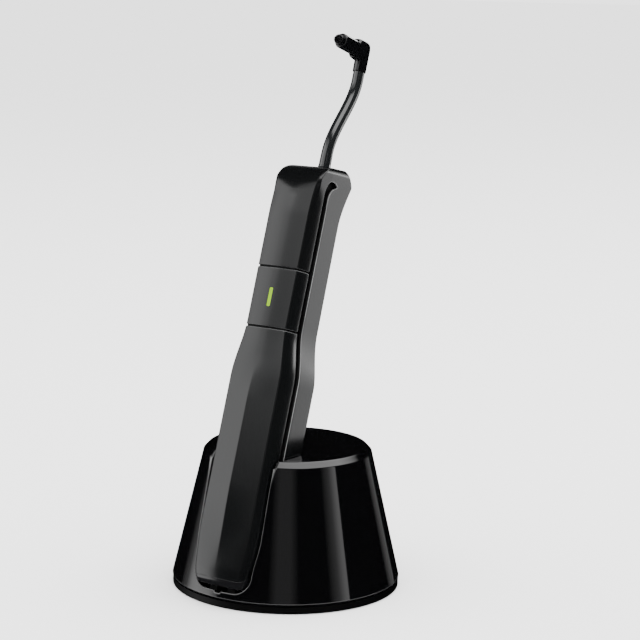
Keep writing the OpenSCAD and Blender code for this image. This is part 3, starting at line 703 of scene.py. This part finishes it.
def cradle_outline():
    """The cradle's edge from its lowest middle point up its right side, as (x, s) points."""
    x = np.array([0, 0.5, 0.9, 1.1, 1.25, 1.4, 1.55, 1.7, 1.9, 2.5, 3.6, 4.5, 5.4])
    bottom = np.stack([x, -1.75 + 0.15 * (x / 6.3) ** 2 - DRAIN_DEPTH * (1 - ramp(x, 1.05, 1.65))], 1)
    a = np.radians(np.linspace(-90, 0, 16))
    corner = np.stack([6.3 + 6.9 * np.cos(a), 5.5 + 7.1 * np.sin(a)], 1)
    s = np.concatenate([np.linspace(6.5, 20, 14), np.linspace(22, 47.2, 20)])
    side = np.stack([13.2 + 1.3 * ramp(s, 5.5, 20), s], 1)
    return np.concatenate([bottom, corner, side])


def offset(outline, distance):
    """An outline moved outwards from the cradle."""
    tangent = np.gradient(outline, axis=0)
    normal = unit(np.stack([tangent[:, 1], -tangent[:, 0]], 1))
    normal[0] = (0, -1)
    distance = np.broadcast_to(np.asarray(distance, float), len(outline))
    return outline + normal * distance[:, None]


def on_wall(outline):
    """Where lines along the cradle meet the stand's sloping wall: (x, y, s) in handset millimetres."""
    points = []
    for x, s in outline:
        low, high = -14.0, 4.0
        for _ in range(40):
            y = 0.5 * (low + high)
            world = tilt((x, y, s)) / MM
            outside = math.hypot(world[0], world[1]) > wall_r(world[2])
            low, high = (y, high) if outside else (low, y)
        points.append((x, y, s))
    return np.array(points)


def ring_arc(radius, z, start, columns):
    """A ring of the stand from angle start beside the cradle round to the other side."""
    t = np.linspace(0, 1, columns)
    angle = -0.5 * math.pi + start + t * (2 * math.pi - 2 * start)
    return np.stack([radius * np.cos(angle), radius * np.sin(angle), np.full(columns, z)], 1)


def make_stand_shell():
    """The stand's outside as rings from the foot to the middle of the top, with the cradle left open."""
    columns = 240
    outline = cradle_outline()
    flare = 0.6 + 1.0 * ramp(outline[:, 1], 40, 47.5)
    lip = tilt(on_wall(offset(outline, flare))) / MM
    rows, wear = [], []
    for z, r in ((PLATE_TOP, FOOT_R - 1.8), (PLATE_TOP, FOOT_R - 0.75), (PLATE_TOP + 0.05, FOOT_R - 0.6),
                 (PLATE_TOP + 0.4, FOOT_R - 0.42), (PLATE_TOP + 0.8, FOOT_R - 0.38)):
        rows.append(ring_arc(r, z, 0, columns))
        wear.append(0)
    # A pale painted highlight line round the foot of the wall, marked on these rings
    for step, mark in ((0.98, 0.1), (1.06, 0.4), (1.2, 0.4), (1.3, 0)):
        rows.append(ring_arc(wall_r(PLATE_TOP + step) - 0.12 * (step < 1), PLATE_TOP + step, 0, columns))
        wear.append(mark)
    if lip[0, 2] - 0.15 > PLATE_TOP + 1.5:
        rows.append(ring_arc(wall_r(lip[0, 2] - 0.15), lip[0, 2] - 0.15, 0, columns))
        wear.append(0)
    for x, y, z in lip:
        if PLATE_TOP + 1.35 < z < STAND_H - BEVEL_H - 0.05:
            rows.append(ring_arc(wall_r(z), z, math.atan2(x, -y), columns))
            wear.append(0)
    rim_z = STAND_H - BEVEL_H
    top_lip = []
    half = CRADLE_HALF + flare[-1]
    chamfer = [(0.02, 0.1), (0.1, 0.26), (0.24, 0.42), (0.45, 0.64), (1.1, 1.33), (1.65, 1.92), (1.9, 2.16),
               (2.12, 2.3), (2.4, 2.39)]
    for k, (inset, rise) in enumerate(chamfer):
        top_lip.append((RIM_R - inset, rim_z + rise, half - 0.6 * k / 8))
    for r, z in ((RIM_R - 2.6, STAND_H), (RIM_R - 3.1, STAND_H - 0.02), (RIM_R - 3.5, STAND_H - 0.16),
                 (RIM_R - 4.0, STAND_H - 0.4), (RIM_R - 4.6, STAND_H - 0.52)):
        top_lip.append((r, z, half - 0.8))
    back_line = cradle_back_line()
    corner_r = math.hypot(CRADLE_HALF + 0.5, back_line)
    for r in np.linspace(RIM_R - 6, corner_r, 6):
        top_lip.append((r, STAND_H - TOP_FACE_DROP, CRADLE_HALF + 0.5))
    for r, z, x in top_lip:
        rows.append(ring_arc(r, z, math.asin(x / r), columns))
    for r in np.linspace(corner_r, back_line, 7)[1:]:
        rows.append(ring_arc(r, STAND_H - TOP_FACE_DROP, math.acos(min(1, back_line / r)), columns))
    for r in (back_line * 0.66, back_line * 0.33, 0.01):
        rows.append(ring_arc(r, STAND_H - TOP_FACE_DROP, 0, columns))
    grid = np.array(rows) * MM
    marks = np.zeros(grid.shape[:2])
    marks[:len(wear)] = np.array(wear)[:, None]
    skin = Skin().grid(grid, wear=marks)
    cut_inlet(skin)
    add_cradle(skin, outline, flare, top_lip)
    return placed(skin.build("stand_body", GLOSS), "stand", "stand_gloss", "stand_shell")


def cradle_back_line():
    """Distance in front of the stand's axis at which the cradle's back wall meets the top face."""
    z = STAND_H - TOP_FACE_DROP
    s = (z - SEAT[1] + CRADLE_BACK * math.sin(LEAN)) / math.cos(LEAN)
    return -(SEAT[0] + s * math.sin(LEAN) + CRADLE_BACK * math.cos(LEAN))


def heel_s(y):
    """Height of the cradle's floor, which rises towards the back."""
    return -1.7 + max(0.0, y - 3) * 7.1 / (CRADLE_BACK - 3)


def untilt(points):
    """From the frame's millimetres to the handset's own."""
    x, across, up = np.asarray(points, float).T
    across, up = across - SEAT[0], up - SEAT[1]
    return np.stack([x, across * math.cos(LEAN) - up * math.sin(LEAN),
                     across * math.sin(LEAN) + up * math.cos(LEAN)], 1)


def rim_columns(top_lip):
    """The cradle's rounded edge along the rim and the top face: its start, its corner and its end."""
    start = untilt([(x, -math.sqrt(r * r - x * x), z) for r, z, x in top_lip])
    sharp = untilt([(CRADLE_HALF, -math.sqrt(r * r - x * x), z) for r, z, x in top_lip])
    along = unit(np.gradient(sharp, axis=0))
    inward = np.stack([np.zeros(len(sharp)), along[:, 2], -along[:, 1]], 1)
    reach = np.full(len(sharp), 0.9)
    reach[-1] = 0.04
    return start, sharp, sharp + inward * reach[:, None]


def add_cradle(skin, outline, flare, top_lip):
    """The rounded edge of the cradle, its floor, its side walls and its back wall."""
    sharp = on_wall(outline)
    start = on_wall(offset(outline, flare))
    inner = sharp + np.array([0, 0.9, 0])
    rim_start, rim_sharp, rim_inner = rim_columns(top_lip)
    start, sharp = np.concatenate([start, rim_start]), np.concatenate([sharp, rim_sharp])
    inner = np.concatenate([inner, rim_inner])
    for side in (1, -1):
        t = np.linspace(0, 1, 7)[:, None, None]
        round_edge = start * (1 - t) ** 2 + 2 * sharp * t * (1 - t) + inner * t**2
        depths = []
        corner = [(CRADLE_BACK - 0.9, 0), (CRADLE_BACK - 0.5, 0.08), (CRADLE_BACK - 0.2, 0.3),
                  (CRADLE_BACK - 0.02, 0.85)]
        for y, shrink in [(y, 0) for y in np.linspace(-4, CRADLE_BACK - 2, 9)] + corner:
            wall = inner.copy()
            wall[:, 1] = np.maximum(inner[:, 1], y)
            wall[:, 2] = np.maximum(wall[:, 2], heel_s(y))
            wall[:, 0] = np.maximum(wall[:, 0] - shrink, 0)
            depths.append(wall)
        side_wall = depths[-1]
        for share in (0.7, 0.4, 0.0):
            across = side_wall * np.array([share, 0, 1]) + np.array([0, CRADLE_BACK, 0])
            depths.append(across)
        p = np.concatenate([round_edge, np.stack(depths)]) * np.array([side, 1, 1])
        # The rounded edge is painted paler as a highlight line, more weakly along the rim and top face
        wear = np.zeros(p.shape[:2])
        wear[1:6] = np.array([0.2, 0.8, 1, 0.8, 0.2])[:, None]
        wear[:, len(outline):] *= 0.4
        skin.grid(tilt(np.swapaxes(p, 0, 1)), flip=side < 0, wear=wear.T)


def cut_inlet(skin):
    """Opens the shell's first grid for the power inlet and rings the opening."""
    width, height, level = INLET
    corners = np.vstack(skin.points)[skin.faces[0]] / MM
    middle = corners.mean(1)
    beyond = np.maximum(np.abs(middle[:, 0]) - 0.5 * (width - height), 0)
    keep = (np.hypot(beyond, middle[:, 2] - level) > height / 2 + 0.6) | (middle[:, 1] < 0)
    skin.faces[0], skin.deep[0] = skin.faces[0][keep], skin.deep[0][keep]
    rows = []
    for grow, out in ((1.7, -0.1), (1.6, 0.06), (1.45, 0.12), (0.3, 0.12), (0.1, 0.05), (0.0, -0.15),
                      (0.0, -2.4)):
        h = height + 2 * grow
        ring = rounded_rectangle(width + 2 * grow, h, h / 2 - 0.001, 10)
        reach = [math.sqrt(wall_r(level + z) ** 2 - x * x) + out for x, z in ring]
        rows.append([(-x, y, level + z) for (x, z), y in zip(ring, reach)])
    skin.grid(np.array(rows) * MM, close_cols=True)


# ---------- neck and brush head ----------
def neck_line(s):
    """The neck's middle line."""
    return SHAFT_Y + NECK_BEND * ramp(s, *NECK_CURVE)


def make_neck():
    """The bent stem, and the socket for the drive shaft in its foot."""
    s = np.concatenate([np.linspace(NECK_FOOT, 168.6, 8), np.linspace(169.2, COLLAR_FOOT + 0.4, 70)])
    slope = np.arctan(NECK_BEND * np.gradient(ramp(s, *NECK_CURVE), s))
    radius = 2.3 + 0.12 * (1 - ramp(s, 166, 176)) + 0.15 * (1 - ramp(s, 166.9, 168.2))
    radius[0] -= 0.25
    q = np.linspace(0, 2 * math.pi, ROUND, endpoint=False)[None, :]
    r, a = radius[:, None], slope[:, None]
    p = np.stack([r * np.cos(q), neck_line(s)[:, None] + r * np.sin(q) * np.cos(a),
                  s[:, None] - r * np.sin(q) * np.sin(a)], -1)
    skin = Skin().grid(tilt(p), close_cols=True)
    # No ring lies at SOCKET_ROUND, so the wall narrows all the way from the round mouth to the D-shaped top
    socket = [p[0]]
    for r, up in ((1.55, 0.0), (1.38, 0.08), (SOCKET_R, 0.3), (SOCKET_R, SOCKET_DEPTH),
                  (0.0, SOCKET_DEPTH)):
        across = r * np.sin(q[0])
        if up > SOCKET_ROUND:
            across = np.minimum(across, SOCKET_FLAT)
        socket.append(np.stack([r * np.cos(q[0]), SHAFT_Y + across, np.full(ROUND, NECK_FOOT + up)], 1))
    skin.grid(tilt(np.array(socket)), close_cols=True, flip=True)
    return placed(skin.build("neck_stem", NECK), "brush", "neck_gloss", "brush_neck")


def lathe(skin, profile, axis_point, along):
    """Turns (radius, distance) points round an axis, 's' for the handset's length or 'y' for its depth."""
    q = np.linspace(0, 2 * math.pi, ROUND, endpoint=False)[None, :]
    r = np.array([p[0] for p in profile])[:, None]
    d = np.array([p[1] for p in profile])[:, None]
    x0, y0, s0 = axis_point
    if along == "s":
        p = np.stack([x0 + r * np.cos(q), y0 + r * np.sin(q), s0 + d + 0 * q], -1)
    else:
        p = np.stack([x0 + r * np.cos(q), y0 + d + 0 * q, s0 - r * np.sin(q)], -1)
    return skin.grid(tilt(p), close_cols=True)


def make_brush_head():
    """The head's block and barrel as rounded squares that turn into circles, and its collar."""
    rows = []
    back = HEAD_Y + 2.35
    stations = [(0.0, 0.05, 0.05), (0.05, 0.9, 1.9), (0.25, 1.6, 2.9), (0.6, 2.1, 3.5), (1.1, 2.4, 3.95),
                (1.8, 2.6, 4.2), (3.0, 2.7, 4.3), (5.0, 2.75, 4.25), (7.0, 2.75, 4.1), (7.9, 2.72, 3.95),
                (8.25, 2.68, 3.7), (8.4, 2.7, 3.4), (8.55, 2.85, 3.12), (9.2, 2.98, 3.05),
                (12.0, 3.0, 3.03), (17.2, 3.0, 3.0), (18.3, 2.98, 2.98), (18.62, 2.85, 2.85),
                (18.75, 2.6, 2.6), (18.78, 2.2, 2.2)]
    q = np.linspace(0, 2 * math.pi, 64, endpoint=False)
    for depth, a, b in stations:
        square = 3.2 - 1.2 * float(ramp(depth, 8, 9.2))
        c, d = np.cos(q), np.sin(q)
        x = a * np.sign(c) * np.abs(c) ** (2 / square)
        z = b * np.sign(d) * np.abs(d) ** (2 / square)
        rows.append(np.stack([x, np.full_like(x, back - depth), BARREL_S + z], 1))
    skin = Skin().grid(tilt(np.array(rows)), close_cols=True)
    collar = [(2.35, 0.0), (2.55, 0.02), (2.66, 0.15), (2.68, 0.5), (2.7, 2.5), (2.72, 6.0)]
    lathe(skin, collar, (0, HEAD_Y, COLLAR_FOOT), "s")
    return placed(skin.build("brush_head_moulding", HEAD), "brush", "head_gloss", "brush_head")


def make_tuft():
    """The cup at the tip of the barrel, and its filaments."""
    cup = [(2.08, 4.8), (2.08, 0.3), (2.02, 0.1), (1.9, 0.0), (1.62, 0.0), (1.52, 0.1), (1.5, 0.3),
           (1.5, 4.0)]
    skin = lathe(Skin(), cup, (0, 1.2, BARREL_S), "y")
    placed(skin.build("tuft_ring", HEAD), "brush", "head_gloss", "tuft_cup")
    rng = random.Random(7)
    hairs = Skin()
    for k in range(HAIRS):
        reach = 1.36 * math.sqrt((k + 0.5) / HAIRS)
        turn = k * GOLDEN_ANGLE
        x, z = reach * math.cos(turn), reach * math.sin(turn)
        lean_x, lean_z = x * 0.05 + rng.uniform(-0.04, 0.04), z * 0.05 + rng.uniform(-0.04, 0.04)
        tip = -0.36 + rng.uniform(0, 0.25) + 0.12 * reach
        q = np.linspace(0, 2 * math.pi, 6, endpoint=False)
        rows = []
        for y, r, t in ((5.0, 0.085, 0), (1.0, 0.085, 0.5), (tip + 0.12, 0.08, 0.95), (tip, 0.03, 1.0)):
            rows.append(np.stack([x + lean_x * t + r * np.cos(q), np.full(6, y),
                                  BARREL_S + z + lean_z * t - r * np.sin(q)], 1))
        hairs.grid(tilt(np.array(rows)), close_cols=True)
    return placed(hairs.build("bristles", BRISTLE), "brush", "bristle", "bristle_tuft")


def make_grommet():
    """The rubber ring round the neck's foot."""
    profile = [(1.6, -0.8), (1.6, 0.1), (1.75, 0.26), (2.6, 0.3), (3.0, 0.2), (3.15, -0.1), (3.15, -0.9)]
    skin = lathe(Skin(), profile[::-1], (0, SHAFT_Y, TOP_S + TOP_SLANT * SHAFT_Y), "s")
    return placed(skin.build("neck_grommet", RUBBER), "handset", "seal_black", "shaft_seal")


# ---------- stage ----------
def make_stage():
    """The plain pale floor."""
    bpy.ops.mesh.primitive_plane_add(size=60, location=(0, 0, 0))
    floor = bpy.context.object
    floor.name = "floor"
    mat = bpy.data.materials.new("floor_pale")
    mat.use_nodes = True
    shader = mat.node_tree.nodes["Principled BSDF"]
    shader.inputs["Base Color"].default_value = (0.93, 0.93, 0.93, 1)
    shader.inputs["Roughness"].default_value = 0.8
    shader.inputs["Specular IOR Level"].default_value = 0.0
    floor.data.materials.append(mat)
    floor.visible_glossy = False
    floor.visible_shadow = False


def softbox(name, azimuth, elevation, distance, width, height, radiance, profile=None):
    """A rectangular studio light that faces the object; azimuth 0 is in front of it and 90 on its right.
    profile lists (place, share) pairs for its brightness, from its lowest azimuth to its highest."""
    data = bpy.data.lights.new(name, "AREA")
    data.shape = "RECTANGLE"
    data.size, data.size_y = width, height
    data.energy = radiance * math.pi * width * height
    if profile:
        data.use_nodes = True
        nodes, links = data.node_tree.nodes, data.node_tree.links
        where = nodes.new("ShaderNodeNewGeometry")
        split = nodes.new("ShaderNodeSeparateXYZ")
        curve = nodes.new("ShaderNodeFloatCurve")
        points = curve.mapping.curves[0].points
        points[0].location, points[1].location = profile[0], profile[-1]
        for place in profile[1:-1]:
            points.new(*place)
        for point in points:
            point.handle_type = "VECTOR"
        curve.mapping.update()
        links.new(where.outputs["Parametric"], split.inputs["Vector"])
        links.new(split.outputs["X"], curve.inputs["Value"])
        links.new(curve.outputs["Value"], nodes["Emission"].inputs["Strength"])
    lamp = bpy.data.objects.new(name, data)
    bpy.context.scene.collection.objects.link(lamp)
    a, e = math.radians(azimuth), math.radians(elevation)
    aim = Vector((0, 0, 0.1))
    away = Vector((math.sin(a) * math.cos(e), -math.cos(a) * math.cos(e), math.sin(e)))
    lamp.location = aim + away * distance
    lamp.rotation_euler = (aim - lamp.location).to_track_quat("-Z", "Y").to_euler()
    lamp.visible_camera = False
    return lamp


def light_only(lamp, pieces):
    """Keeps a light off everything but these pieces."""
    group = bpy.data.collections.new(lamp.name + "_receivers")
    for piece in pieces:
        group.objects.link(piece)
    lamp.light_linking.receiver_collection = group


def make_lights(handset, stand, head):
    """Large soft lights on everything, and weaker ones that each light one part of the object only."""
    soft_sides = [(0, 0), (0.3, 1), (0.7, 1), (1, 0)]
    softbox("key_left", -62, 6, 1.6, 1.77, 2.2, 2.4,
            [(0, 0), (0.22, 0.17), (0.37, 0.75), (0.5, 1), (0.78, 1), (0.9, 0.5), (1, 0.12)])
    softbox("upper_glow", -14, 35.5, 1.75, 1.5, 1.2, 1.25, [(0, 0.8), (0.5, 0.8), (0.85, 1), (1, 0.6)])
    light_only(softbox("front_glow", 34, 8, 1.8, 1.0, 1.2, 0.3, soft_sides), stand)
    light_only(softbox("strip_right", 91, 10, 1.6, 0.62, 0.8, 1.6, [(0, 0), (0.5, 0.35), (0.85, 1), (1, 1)]),
               stand)
    light_only(softbox("strip_rear", 168, -3, 1.6, 0.45, 0.5, 0.3, [(0, 0.3), (0.5, 1), (1, 1)]), stand)
    light_only(softbox("floor_bounce", 150, -8, 1.6, 1.0, 1.5, 2.1, [(0, 0), (0.2, 0.08), (0.32, 1), (1, 1)]),
               handset)
    light_only(softbox("head_rim", 196, 14, 1.6, 0.35, 0.5, 5.0), head)
    light_only(softbox("waist_glow", 146, 5.5, 1.6, 0.6, 0.2, 4.5), handset)
    light_only(softbox("crown_glow", -14, 35.5, 1.8, 1.4, 0.6, 0.5), handset)
    light_only(softbox("left_fill", -132, 4, 1.8, 0.9, 1.5, 0.6, soft_sides), handset)
    light_only(softbox("right_fill", 50, 4, 1.8, 0.6, 1.5, 0.6, soft_sides), handset)
    top = softbox("overhead", 155, 54, 1.75, 3.2, 1.5, 3.6, [(0, 0.7), (0.08, 1), (0.5, 1), (1, 0)])
    top.rotation_euler = (0, 0, math.radians(90))
    world = bpy.data.worlds.new("studio")
    bpy.context.scene.world = world
    world.use_nodes = True
    nodes, links = world.node_tree.nodes, world.node_tree.links
    path = nodes.new("ShaderNodeLightPath")
    strength = nodes.new("ShaderNodeMapRange")
    strength.inputs["To Min"].default_value = 2.6
    strength.inputs["To Max"].default_value = 0.005
    links.new(path.outputs["Is Glossy Ray"], strength.inputs["Value"])
    links.new(strength.outputs["Result"], nodes["Background"].inputs["Strength"])
    nodes["Background"].inputs["Color"].default_value = (1, 1, 1, 1)


def make_camera():
    """The camera that sees the object as the photograph does."""
    azimuth, reach, height = math.radians(36), 765.4, 233.62
    yaw, pitch, roll = math.radians(-0.87), math.radians(9.54), math.radians(1.15)
    data = bpy.data.cameras.new("camera")
    data.sensor_width = 36
    data.lens = 112.3081875
    camera = bpy.data.objects.new("camera", data)
    bpy.context.scene.collection.objects.link(camera)
    heading = azimuth + yaw
    forward = Vector((-math.sin(heading) * math.cos(pitch), math.cos(heading) * math.cos(pitch),
                      -math.sin(pitch)))
    right = Vector((math.cos(heading), math.sin(heading), 0))
    up = right.cross(forward)
    right, up = (right * math.cos(roll) + up * math.sin(roll), up * math.cos(roll) - right * math.sin(roll))
    turn = Matrix((right, up, -forward)).transposed()
    camera.matrix_world = Matrix.Translation(
        Vector((math.sin(azimuth) * reach, -math.cos(azimuth) * reach, height)) * MM) @ turn.to_4x4()
    bpy.context.scene.camera = camera


make_camera()
dress_nodes()
handset_pieces = [make_rear_housing(), make_grip_cover(), make_power_button(), make_end_cap(), make_neck()]
head_pieces = [make_brush_head()]
make_window()
make_seam_liners()
make_grommet()
make_tuft()
stand_pieces = [make_stand_shell()]
make_stage()
make_lights(handset_pieces, stand_pieces, head_pieces)
